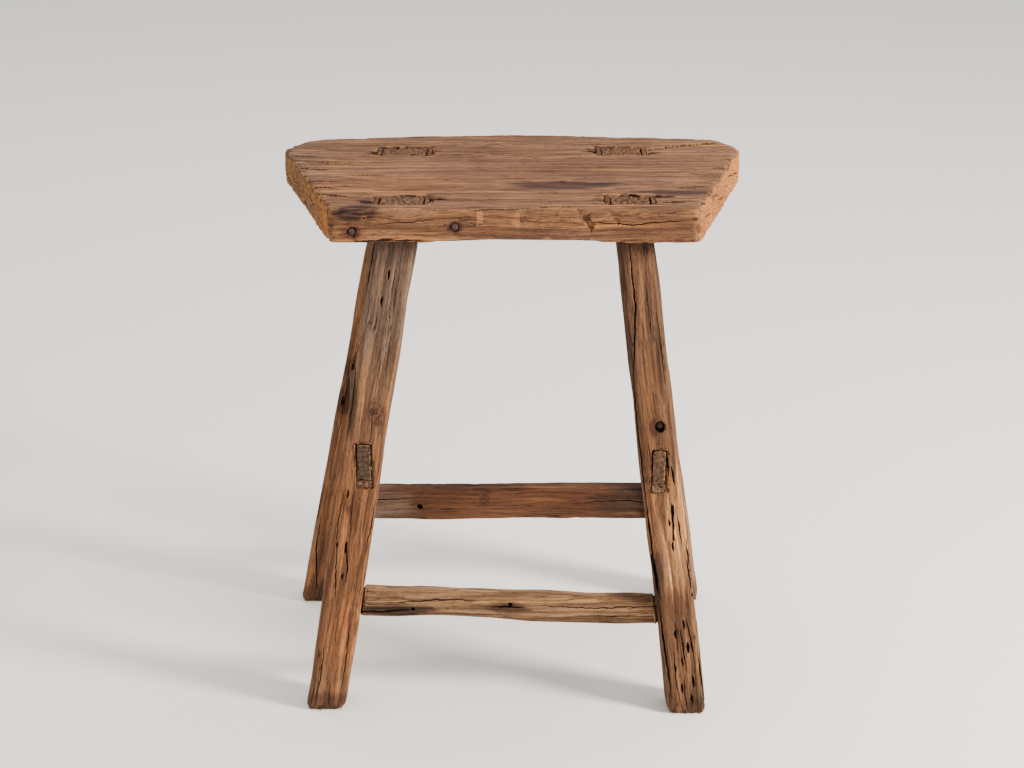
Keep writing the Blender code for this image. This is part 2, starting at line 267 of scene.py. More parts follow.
def use_tree(piece, tree, **values):
    """Puts a Geometry Nodes tree on a piece, with its inputs set by name."""
    step = piece.modifiers.new(tree.name, "NODES")
    step.node_group = tree
    labels = {item.name: item.identifier for item in tree.interface.items_tree if item.in_out == "INPUT"}
    for name, value in values.items():
        step[labels[name.replace("_", " ")]] = value


def settle(piece):
    """Turns what the modifiers make of a piece into its plain mesh."""
    graph = bpy.context.evaluated_depsgraph_get()
    mesh = bpy.data.meshes.new_from_object(piece.evaluated_get(graph), depsgraph=graph)
    piece.modifiers.clear()
    piece.data = mesh


def new_piece(name, shape):
    """An object at the origin from a bmesh."""
    mesh = bpy.data.meshes.new(name)
    shape.to_mesh(mesh)
    shape.free()
    piece = bpy.data.objects.new(name, mesh)
    bpy.context.scene.collection.objects.link(piece)
    return piece


def fine_copy(name, node, grid):
    """A CAD piece's shape again, in an even fine mesh with its arrises just broken."""
    shape = bmesh.new()
    shape.from_mesh(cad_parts[node].data)
    bmesh.ops.remove_doubles(shape, verts=shape.verts, dist=1e-5)
    piece = new_piece(name, shape)
    remesh = piece.modifiers.new("grid", "REMESH")
    remesh.mode = "VOXEL"
    remesh.voxel_size = grid * 1.0
    ease = piece.modifiers.new("ease", "SMOOTH")
    ease.factor = 0.5
    ease.iterations = 2
    settle(piece)
    return piece


def prism(rings, shape=None):
    """A closed solid through rings with the same number of points, in a bmesh."""
    shape = shape or bmesh.new()
    loops = [[shape.verts.new(point) for point in ring] for ring in rings]
    made = [shape.faces.new(loops[0]), shape.faces.new(loops[-1])]
    for near, far in zip(loops, loops[1:]):
        for i in range(len(near)):
            j = (i + 1) % len(near)
            made.append(shape.faces.new((near[i], near[j], far[j], far[i])))
    bmesh.ops.recalc_face_normals(shape, faces=made)
    return shape


def combine(piece, tools, operation):
    """Joins or cuts a piece with solid tools, which are then gone."""
    for tool in tools:
        step = piece.modifiers.new("combine", "BOOLEAN")
        step.operation = operation
        step.solver = "MANIFOLD"
        step.object = tool
    settle(piece)
    for tool in tools:
        bpy.data.objects.remove(tool)


def mark_faces(piece, dirt_and_shade):
    """Marks every face of a piece, so that walls cut into the wood can be told from its old surface."""
    mark = piece.data.attributes.new("dirt_and_shade", "FLOAT", "FACE")
    mark.data.foreach_set("value", [dirt_and_shade] * len(mark.data))


class Cuts:
    """Splits, notches and holes to take out of one piece, gathered as solid cutting shapes."""

    PROUD = 0.004  # how far a split's cutting shape stands out of the wood
    SPACING = 0.004  # between its rings
    SIDES = 12  # of a bored hole
    UNEVEN = 0.15

    def __init__(self, piece, seed):
        self.piece = piece
        self.chance = random.Random(seed)
        mark_faces(piece, 0.0)
        corners = [corner.co for corner in piece.data.vertices]
        self.surface = BVHTree.FromPolygons(corners, [face.vertices for face in piece.data.polygons])
        self.tools = []

    def take(self, rings, dirt_and_shade=1.0):
        """One more solid to cut away. Where the mark is 1 its walls are painted nearly black, as painted
        shade with soiling; where it is -1 they are fresh wood.
        """
        tool = new_piece("cut", prism(rings))
        mark_faces(tool, dirt_and_shade)
        self.tools.append(tool)

    def touch(self, point, inward):
        """The place on the surface that is met by going inward over a point."""
        start = Vector(point) - inward * 0.15
        hit = self.surface.ray_cast(start, inward)
        return hit[0] or Vector(point)

    def split(self, points, inward, width, depth, wander=0.0006, lean=0.0, dirt_and_shade=1.0):
        """A split that opens along a line of points, widest in its middle, with uneven walls. Its
        bottom lies to one side where it leans, as in the notch of a blow."""
        inward = Vector(inward).normalized()
        points = [Vector(point) for point in points]
        reaches = [0.0]
        for a, b in zip(points, points[1:]):
            reaches.append(reaches[-1] + (b - a).length)
        steps = max(5, int(reaches[-1] / self.SPACING))
        rings = []
        for step in range(steps + 1):
            share = step / steps
            reach = share * reaches[-1]
            run = max(i for i in range(len(points) - 1) if reaches[i] <= reach + 1e-9)
            part = (reach - reaches[run]) / (reaches[run + 1] - reaches[run])
            across = (points[run + 1] - points[run]).cross(inward).normalized()
            spot = points[run].lerp(points[run + 1], part)
            spot = self.touch(spot + across * self.chance.uniform(-wander, wander), inward)
            open_by = math.sin(math.pi * min(0.97, max(0.03, share)))
            half = width / 2 * open_by ** 0.6 * self.chance.uniform(0.78, 1.15)
            deep = depth * open_by ** 0.5 * self.chance.uniform(0.8, 1.1)
            high = spot + inward * -self.PROUD
            flare = half * (1 + self.PROUD / deep)
            low = spot + inward * deep + across * half * lean
            rings.append((
                high + across * flare, high - across * flare,
                low - across * half * 0.22, low + across * half * 0.22,
            ))
        self.take(rings, dirt_and_shade)

    def bore(self, spot, inward, radius, depth):
        """A round, slightly uneven hole that starts at a given place on the surface."""
        inward = Vector(inward).normalized()
        side = inward.orthogonal().normalized()
        other = inward.cross(side)
        reaches = []
        for _ in range(self.SIDES):
            reaches.append(radius * self.chance.uniform(1 - self.UNEVEN, 1 + self.UNEVEN))
        rings = []
        for push, share in ((-0.003, 1.05), (depth * 0.7, 0.95), (depth, 0.6)):
            ring = []
            for turn, reach in enumerate(reaches):
                angle = math.tau * turn / self.SIDES
                outward = side * math.cos(angle) + other * math.sin(angle)
                ring.append(spot + inward * push + outward * reach * share)
            rings.append(ring)
        self.take(rings)

    def take_out(self, beetle_holes, seed):
        """Cuts everything gathered, and so many beetles' holes a square metre, out of the piece."""
        whole = self.tools.pop()
        combine(whole, self.tools, "UNION")
        holes = self.piece.copy()
        bpy.context.scene.collection.objects.link(holes)
        use_tree(holes, BEETLE_HOLES, Holes_per_square_metre=beetle_holes, Seed=float(seed))
        settle(holes)
        combine(self.piece, [whole, holes], "DIFFERENCE")


def finish_wood(piece, material, node):
    """The last steps for every wooden piece: its measure of wear and painted shade, its material and its
    place in the frame.
    """
    use_tree(piece, WEAR_AND_SHADE, Material=material)
    settle(piece)
    piece.data.shade_smooth()
    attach(piece, "root")
    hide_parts(node)


def wood(name, grain, pith, tones, ring=0.005, seed=0.0, tints=(), knots=(), end_tone=None, contrast=1.0):
    """Old elm. Year rings lie round the pith line, which runs along the grain, so that they show as lines
    on the faces and as arcs on the ends. tones: dark, middle, light and golden wood. tints: centre, radii,
    colour multiplied in and strength of each stain, some of which are patches of painted shade. knots:
    centre and radius."""
    material = bpy.data.materials.new(name)
    material.use_nodes = True
    sheet = Sheet(material.node_tree)
    shader = material.node_tree.nodes["Principled BSDF"]
    dark, middle, light, golden = tones
    black = tuple(c * 0.10 for c in dark)
    place = sheet.add("ShaderNodeTexCoord", out="Object")
    facing = sheet.add("ShaderNodeTexCoord", out="Normal")
    turn = RIGHT.rotation_difference(grain).to_euler()
    straight = sheet.add(
        "ShaderNodeMapping", {"vector_type": "TEXTURE"},
        {"Vector": place, "Location": tuple(pith), "Rotation": tuple(turn)},
    )
    sway = sheet.noise(straight * (1 / 0.10, 1 / 0.035, 1 / 0.035), 1.0, 2.0, 0.5, seed, "Color")
    local = straight + (sway - (0.5, 0.5, 0.5)) * (0.0, 0.009, 0.009)
    end_on = facing.dot(tuple(grain)).size().rise(0.60, 0.85)

    def lines(along, across, detail=2.0, roughness=0.5, shift=0.0):
        """Noise drawn out along the grain, from its length and its width in metres."""
        where = local * (1 / along, 1 / across, 1 / across)
        return sheet.noise(where, 1.0, detail, roughness, seed + shift)

    year = ((local * (0.0, 1.0, 1.0)).length() / ring + lines(0.3, 0.012, 2.0, 0.5, 2.0) * 1.1).fraction()
    late_wood = year.rise(0.35, 0.90) * year.rise(0.92, 1.0, 1.0, 0.0)
    fibre = lines(0.022, 0.0009, 3.0, 0.65, 5.0)
    streak = lines(0.11, 0.0030, 3.0, 0.62, 9.0)
    band = lines(0.24, 0.013, 2.0, 0.5, 13.0)
    cloud = sheet.noise(place, 16.0, 3.0, 0.6, seed + 17.0)
    grit = sheet.noise(place, 900.0, 2.0, 0.7, seed + 19.0)
    pores = lines(0.007, 0.0006, 1.0, 0.5, 21.0).rise(0.58, 0.68)
    vein = lines(0.10, 0.0016, 2.0, 0.6, 23.0).rise(0.585, 0.64)
    check = (lines(0.14, 0.007, 2.0, 0.6, 25.0) - 0.5).size().rise(0.0, 0.012, 1.0, 0.0)
    check = check * lines(0.07, 0.02, 1.0, 0.5, 29.0).rise(0.50, 0.58)

    colour = sheet.mix(streak.rise(0.32, 0.62), dark, middle)
    colour = sheet.mix(band.rise(0.45, 0.68) * 0.85, colour, light)
    colour = sheet.mix(lines(0.13, 0.006, 3.0, 0.6, 33.0).rise(0.54, 0.68) * 0.8, colour, golden)
    colour = sheet.mix(cloud.rise(0.48, 0.75) * 0.5, colour, dark)
    colour = sheet.mix(late_wood * 0.5 * contrast, colour, tuple(c * 0.5 for c in dark))
    colour = sheet.mix(vein * 0.6 * contrast, colour, tuple(c * 0.40 for c in dark))
    colour = sheet.mix(pores * 0.5 * contrast, colour, tuple(c * 0.30 for c in dark))
    colour = colour.scaled(0.32 + fibre * 0.80 + grit * 0.56)
    colour = sheet.mix(check * 0.85, colour, black)

    rough_end = end_tone or tuple(c * 0.62 for c in middle)
    pits = sheet.noise(straight, 480.0, 5.0, 0.75, seed + 37.0).rise(0.49, 0.66)
    end_colour = sheet.mix(cloud.rise(0.3, 0.7), rough_end, tuple(c * 0.6 for c in rough_end))
    end_colour = sheet.mix(late_wood * 0.55, end_colour, tuple(c * 0.35 for c in rough_end))
    end_colour = sheet.mix(pits * 0.65, end_colour, tuple(c * 0.25 for c in rough_end))
    colour = sheet.mix(end_on, colour, end_colour)

    ragged = lines(0.04, 0.004, 3.0, 0.6, 41.0) - 0.5
    for centre, radii, tint, strength in tints:
        reach = ((place - tuple(centre)) / tuple(radii)).length() + ragged * 1.2
        colour = sheet.mix(reach.rise(0.55, 1.1, strength, 0.0), colour, tint, "MULTIPLY")
    for centre, radius in knots:
        crooked = sheet.noise(place, 130.0, 2.0, 0.5, seed + 43.0, "Color") - (0.5, 0.5, 0.5)
        off = place - tuple(centre) + crooked * (0.010, 0.0, 0.016)
        reach = (off / (radius, radius, radius * 1.5)).length()
        rings = (reach * 2.6).fraction().rise(0.35, 0.8) * streak.rise(0.3, 0.6)
        inside = reach.rise(0.8, 1.15, 1.0, 0.0)
        colour = sheet.mix(inside * (0.30 + rings * 0.6), colour, (0.35, 0.24, 0.18), "MULTIPLY")
        colour = sheet.mix(reach.rise(0.15, 0.45, 0.8, 0.0), colour, (0.22, 0.15, 0.12), "MULTIPLY")

    proud = sheet.add("ShaderNodeAttribute", {"attribute_name": "proud"}, out="Fac")
    rubbed = proud.rise(0.2, 1.0, 0.0, 0.4) * cloud.rise(0.35, 0.6)
    colour = sheet.mix(rubbed, colour, tuple(min(1.0, c * 1.1) for c in golden))
    dirt_and_shade = sheet.add("ShaderNodeAttribute", {"attribute_name": "dirt_and_shade"}, out="Fac")
    # Painted shade, with soiling: points lower than their surroundings, in grooves and splits, are darkened
    # towards black, except on fresh cuts.
    shade_and_grime = proud.rise(-0.85, -0.06, 0.92, 0.0) * dirt_and_shade.rise(-0.6, -0.1)
    colour = sheet.mix(shade_and_grime, colour, black)
    # Painted shade, with soiling: the walls of splits, bored holes and beetle holes, marked 1, are painted
    # nearly black.
    colour = sheet.mix(dirt_and_shade.rise(0.2, 0.8, 0.0, 0.94), colour, black)

    rough = 0.70 + fibre * 0.2 - rubbed * 0.25
    side_height = 0.6 * fibre - late_wood * 0.35 + streak * 0.6 - pores * 0.5 - vein * 0.5
    side_height = side_height - check * 1.3 + grit * 0.25
    end_height = sheet.noise(straight, 260.0, 3.0, 0.6, seed) * 1.2 - pits * 0.9 - late_wood * 0.5
    height = side_height + (end_height - side_height) * end_on
    bump = sheet.add("ShaderNodeBump", None, {"Height": height, "Strength": 1.0, "Distance": 0.0009})
    for socket, wire in (("Base Color", colour), ("Roughness", rough), ("Normal", bump)):
        material.node_tree.links.new(wire.socket, shader.inputs[socket])
    shader.inputs["Specular IOR Level"].default_value = 0.25
    return material


SEAT_TONES = ((0.105, 0.041, 0.018), (0.205, 0.093, 0.041), (0.285, 0.138, 0.064), (0.440, 0.190, 0.058))
SEAT_END = (0.500, 0.178, 0.034)
PLUM_STAIN = (0.28, 0.20, 0.29)
DEEP_PLUM = (0.13, 0.085, 0.15)
FRESH_WOOD = (1.22, 1.22, 1.14)
SEAT_TOP = 0.480
FRONT = -0.1233
MORTISES = (
    ((-0.1251, -0.0735), (-0.1008, -0.0722)), ((0.0821, 0.1284), (-0.1008, -0.0722)),
    ((-0.1313, -0.0766), (0.0735, 0.1016)), ((0.0802, 0.1296), (0.0735, 0.1016)),
)
# Height by which the lower front edge is hollowed, at places along it.
HOLLOW = (
    (-0.084, 0.0003), (-0.066, 0.0032), (-0.02, 0.0046), (0.03, 0.0042), (0.07, 0.0034), (0.086, 0.0003),
)
# Splits in the top, one from the rear right joint and the rest mostly from the ends: line, width and
# depth, and for the widest how far it wanders.
TOP_SPLITS = (
    (((0.132, 0.091), (0.160, 0.107), (0.196, 0.117)), 0.0085, 0.014, 0.0003),
    (((-0.204, 0.026), (-0.172, 0.016)), 0.0052, 0.008),
    (((-0.194, -0.022), (-0.150, -0.028)), 0.0058, 0.009),
    (((-0.182, -0.064), (-0.135, -0.079)), 0.0060, 0.009),
    (((-0.202, 0.046), (-0.150, 0.041)), 0.0046, 0.007),
    (((-0.187, -0.045), (-0.160, -0.048)), 0.0044, 0.006),
    (((-0.208, 0.066), (-0.186, 0.063)), 0.0044, 0.006),
    (((-0.150, -0.003), (-0.118, -0.004)), 0.0038, 0.004),
    (((0.204, 0.022), (0.180, 0.020)), 0.0044, 0.005),
    (((0.165, -0.092), (0.130, -0.097)), 0.0042, 0.005),
    (((0.180, -0.040), (0.150, -0.046)), 0.0040, 0.004),
    (((-0.033, -0.1175), (0.010, -0.1150), (0.05, -0.1085)), 0.0020, 0.003),
)
SEAT_GRID = 0.0017

seat = fine_copy("seat", "seat_board", SEAT_GRID)
use_tree(
    seat, WEATHERING, Grain=RIGHT, Ridge_spacing=0.009, Ridge_depth=0.0006, Fibre_spacing=0.0030,
    Fibre_depth=0.0006, Wave_depth=0.0012, Chip_depth=0.0024, Pit_depth=0.0014, Bend=BEND, Seed=1.0,
)
settle(seat)
cuts = Cuts(seat, 4)
for line, width, depth, *wander in TOP_SPLITS:
    cuts.split([(x, y, SEAT_TOP) for x, y in line], -UP, width, depth, *wander)
cuts.split([(0.150, FRONT, 0.470), (0.105, FRONT, 0.466), (0.060, FRONT, 0.469)], BACK, 0.0012, 0.004)
cuts.split([(-0.120, FRONT, 0.466), (-0.070, FRONT, 0.470)], BACK, 0.0010, 0.003)
# Splits in the two ends, along the year rings.
for side in (-1, 1):
    for y, z in ((-0.09, 0.462), (-0.05, 0.469), (-0.02, 0.458), (0.03, 0.466), (0.06, 0.460)):
        near = (side * 0.19, y - 0.014, z + side * 0.006)
        far = (side * 0.19, y + 0.016, z)
        cuts.split([near, far], (-side, 0.0, 0.0), 0.0016, 0.005)
# Two blows on the front edge, and the flat left by an adze beside them. All three are fresh wood.
BLOW = (0.0, 0.75, -0.66)
FRESH_CUT = -1.0
LEAN = 0.9
long_blow = [(0.046, -0.112, 0.482), (0.060, -0.122, 0.470), (0.069, -0.123, 0.4600)]
cuts.split(long_blow, BLOW, 0.0095, 0.0024, 0.0, LEAN, FRESH_CUT)
cuts.split([(0.080, -0.118, 0.480), (0.092, -0.124, 0.466)], BLOW, 0.0060, 0.0016, 0.0, LEAN, FRESH_CUT)
CLEAR = 0.010
rings = []
for x, low, high in ((-0.030, 0.0002, 0.0052), (0.005, 0.0, 0.0046), (0.046, -0.0014, 0.0026)):
    outside = ((x, FRONT - CLEAR, 0.4600), (x, FRONT - CLEAR, 0.4900))
    rings.append(((x, FRONT + low, 0.4615), *outside, (x, FRONT + high, 0.4810)))
cuts.take(rings, FRESH_CUT)
# The lower front edge is hollowed between the legs and chipped over the left one.
rings = []
for x, rise in HOLLOW:
    outside = ((x, FRONT - 0.012, 0.440), (x, FRONT - 0.012, 0.448 + rise * 1.3))
    rings.append((*outside, (x, FRONT + 0.040, 0.4475), (x, FRONT + 0.040, 0.440)))
cuts.take(rings, FRESH_CUT)
chip = [(-0.139, FRONT, 0.4475), (-0.110, FRONT, 0.4495), (-0.084, FRONT, 0.4470)]
cuts.split(chip, (0, 0.8, 0.6), 0.007, 0.003, 0.001)
# The joints' rims are broken out in splinters along the grain.
for (left, right), (near, far) in MORTISES:
    for edge, count in ((near, 4), (far, 4)):
        for number in range(count):
            x = left + (right - left) * (number + 0.5) / count + cuts.chance.uniform(-0.004, 0.004)
            half = cuts.chance.uniform(0.004, 0.011)
            y = edge + cuts.chance.uniform(-0.0008, 0.0008)
            wide = cuts.chance.uniform(0.0015, 0.0045)
            cuts.split([(x - half, y, SEAT_TOP), (x + half, y, SEAT_TOP)], -UP, wide, 0.0035, 0.0004)
    for edge, way in ((left, -1), (right, 1)):
        for _ in range(4):
            y = cuts.chance.uniform(near + 0.003, far - 0.003)
            length = cuts.chance.uniform(0.005, 0.018)
            start = (edge - way * 0.008, y, SEAT_TOP)
            tip = (edge + way * length, y + cuts.chance.uniform(-0.002, 0.002), SEAT_TOP)
            cuts.split([start, tip], -UP, cuts.chance.uniform(0.002, 0.0055), 0.0034, 0.0004)
# The nails' heads sit in small recesses.
NAIL_SPOTS = {
    "seat_nail_left": Vector((-0.1411, FRONT, 0.4592)), "seat_nail_right": Vector((-0.0506, FRONT, 0.4635)),
    "leg_nail": Vector((0.1332, -0.1242, 0.2765)),
}
cuts.bore(NAIL_SPOTS["seat_nail_left"], BACK, 0.0046, 0.0030)
cuts.bore(NAIL_SPOTS["seat_nail_right"], BACK, 0.0047, 0.0032)
cuts.take_out(beetle_holes=180.0, seed=3)

RUST_RING = (0.42, 0.24, 0.20)
seat_wood = wood(
    "seat_elm", RIGHT, (0.0, -0.02, 0.36), SEAT_TONES, ring=0.0045, seed=1.0, end_tone=SEAT_END,
    tints=(
        ((0.050, -0.038, 0.480), (0.058, 0.015, 0.03), PLUM_STAIN, 1.0),
        ((0.150, -0.062, 0.480), (0.045, 0.010, 0.03), PLUM_STAIN, 0.95),
        ((-0.1365, -0.1215, 0.4770), (0.024, 0.020, 0.0095), DEEP_PLUM, 1.0),
        ((0.015, -0.123, 0.470), (0.050, 0.010, 0.0085), FRESH_WOOD, 0.9),
        (NAIL_SPOTS["seat_nail_left"], (0.011, 0.02, 0.008), RUST_RING, 0.85),
        (NAIL_SPOTS["seat_nail_right"], (0.008, 0.02, 0.007), RUST_RING, 0.75),
        ((0.130, -0.124, 0.462), (0.055, 0.02, 0.016), (0.72, 0.68, 0.66), 0.9),
        ((0.040, -0.124, 0.454), (0.070, 0.02, 0.009), (0.78, 0.84, 0.95), 0.8),
        ((-0.215, 0.000, 0.460), (0.060, 0.150, 0.030), (0.62, 0.78, 1.12), 0.9),
        ((-0.110, -0.040, 0.480), (0.085, 0.030, 0.02), (1.30, 1.15, 0.88), 0.8),
        ((0.010, 0.030, 0.480), (0.110, 0.080, 0.02), (0.82, 0.74, 0.74), 0.7),
        ((0.150, 0.020, 0.480), (0.070, 0.050, 0.02), (0.95, 0.93, 0.95), 0.7),
        ((-0.090, -0.124, 0.452), (0.045, 0.02, 0.006), (1.2, 1.0, 0.75), 0.7),
        ((0.000, -0.124, 0.456), (0.070, 0.02, 0.008), (0.72, 0.66, 0.68), 0.7),
    ),
)
finish_wood(seat, seat_wood, "seat_board")

# ---------------------------------------------------------------------------------------------
# Legs: four hewn elm legs, splayed both ways, with their arrises rounded by hand and by wear. Each
# stands on worn end grain, and its tenon comes through the seat and shows there as end grain.


def leg_axis(node):
    """The middle of a leg's foot and of its tenon's end."""
    points = np.array([v.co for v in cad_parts[node].data.vertices])
    ends = []
    for level in (points[:, 2].min(), points[:, 2].max()):
        ends.append(Vector(points[np.abs(points[:, 2] - level) < 1e-4].mean(axis=0)))
    return ends


class Leg:
    """One leg's grain line, with places on it given by height and by offset to the right."""

    def __init__(self, node):
        self.foot, self.top = leg_axis(node)
        self.grain = (self.top - self.foot).normalized()

    def at(self, height, offset=0.0):
        share = (height - self.foot.z) / (self.top.z - self.foot.z)
        return self.foot.lerp(self.top, share) + RIGHT * offset


LEG_GRID = 0.0011
LEG_PITH = Vector((0.03, 0.035, 0.0))
LEG_FRONT = Vector((0, -0.019, 0))
LEG_RING = 0.0055
LEG_WEAR = {"Ridge_depth": 0.0009, "Fibre_depth": 0.0005, "Wave_depth": 0.0018, "Chip_depth": 0.0016}
HOLES_PER_SQUARE_METRE = 120.0


def make_leg(name, number, tones, splits, pocks, tints, knots=(), holes=(), **wear):
    """A leg from its splits (heights with offsets, then width and depth, on the front unless a way in is
    given), pocks (height, offset, radius, depth), tints for stain and for painted shade, knots and round
    holes."""
    leg = Leg(name + "_leg")
    shape = fine_copy(name + "_leg_wood", name + "_leg", LEG_GRID)
    seed = 10.0 + number
    use_tree(
        shape, WEATHERING, Grain=leg.grain, Ridge_spacing=0.008, Fibre_spacing=0.003,
        Pit_depth=0.0028, Bend=BEND, Seed=seed, **{**LEG_WEAR, **wear},
    )
    settle(shape)
    cuts = Cuts(shape, number)
    for line, width, depth, *way in splits:
        inward = way[0] if way else BACK
        cuts.split([leg.at(height, offset) for height, offset in line], inward, width, depth, 0.0004)
    for height, offset, radius, depth in pocks:
        reach = radius * 3.0
        line = [leg.at(height + reach, offset), leg.at(height - reach, offset)]
        cuts.split(line, BACK, radius * 1.5, depth, 0.0003)
    for spot, radius, depth in holes:
        cuts.bore(spot, BACK, radius, depth)
    cuts.take_out(HOLES_PER_SQUARE_METRE, number)
    stains_and_shade = []
    for height, offset, radii, tint, strength in tints:
        stains_and_shade.append((leg.at(height, offset) + LEG_FRONT, radii, tint, strength))
    spots = [(leg.at(height, offset) + LEG_FRONT, radius) for height, offset, radius in knots]
    core = leg.foot + LEG_PITH
    look = wood(name + "_elm", leg.grain, core, tones, LEG_RING, seed, stains_and_shade, spots, TENON_END)
    finish_wood(shape, look, name + "_leg")


GREYED = (0.80, 0.92, 1.12)
RUDDY = (1.20, 0.98, 0.76)
SOOTY = (0.40, 0.36, 0.34)
TENON_END = (0.155, 0.068, 0.029)
PALE = (1.75, 1.75, 1.70)

make_leg(
    "front_left", 0,
    ((0.088, 0.040, 0.019), (0.178, 0.086, 0.041), (0.242, 0.128, 0.066), (0.36, 0.162, 0.058)),
    splits=(
        (((0.452, -0.018), (0.429, -0.0185), (0.378, -0.020), (0.345, -0.019)), 0.0011, 0.008),
        (((0.330, -0.019), (0.300, -0.017), (0.262, -0.017)), 0.0011, 0.007),
        (((0.286, 0.0022), (0.274, 0.0035), (0.258, 0.0045)), 0.0007, 0.004),
        (((0.217, -0.013), (0.190, -0.014), (0.165, -0.0135)), 0.0010, 0.005),
        (((0.217, -0.003), (0.200, -0.004), (0.178, -0.001)), 0.0007, 0.004),
        (((0.163, -0.0120), (0.140, -0.010), (0.108, -0.0058)), 0.0011, 0.005),
        (((0.161, -0.003), (0.140, 0.001), (0.128, 0.000)), 0.0014, 0.006),
        (((0.205, 0.017), (0.180, 0.0165), (0.150, 0.0145)), 0.0009, 0.005),
        (((0.095, 0.010), (0.050, 0.012), (0.015, 0.011)), 0.0009, 0.005),
        (((0.070, -0.010), (0.035, -0.009), (0.006, -0.012)), 0.0009, 0.005),
        (((0.420, 0.004), (0.395, 0.003)), 0.0006, 0.003),
        (((0.100, -0.002), (0.070, -0.001)), 0.0006, 0.003),
        (((0.360, 0.008), (0.320, 0.009)), 0.0006, 0.003),
    ),
    pocks=(
        (0.416, -0.0014, 0.0016, 0.006), (0.392, -0.0044, 0.0015, 0.006), (0.161, -0.0037, 0.0020, 0.007),
        (0.133, -0.0028, 0.0013, 0.005), (0.163, -0.0120, 0.0012, 0.005), (0.212, -0.0090, 0.0014, 0.003),
    ),
    tints=(
        (0.410, 0.0, (0.10, 0.10, 0.085), (0.98, 1.20, 1.60), 0.9),
        # Painted shade: the top of the leg, just under the seat, is darkened.
        (0.440, 0.0, (0.05, 0.05, 0.018), (0.62, 0.62, 0.66), 0.8),
        (0.150, 0.0, (0.10, 0.10, 0.150), RUDDY, 0.9),
        (0.300, -0.018, (0.006, 0.02, 0.05), SOOTY, 0.8),
        (0.050, 0.0, (0.06, 0.06, 0.060), (1.22, 1.20, 1.20), 0.8),
        (0.005, 0.0, (0.06, 0.06, 0.016), SOOTY, 0.8),
        (0.205, -0.008, (0.010, 0.02, 0.012), (0.7, 0.62, 0.56), 0.8),
    ),
    knots=((0.289, 0.0041, 0.0095),),
)
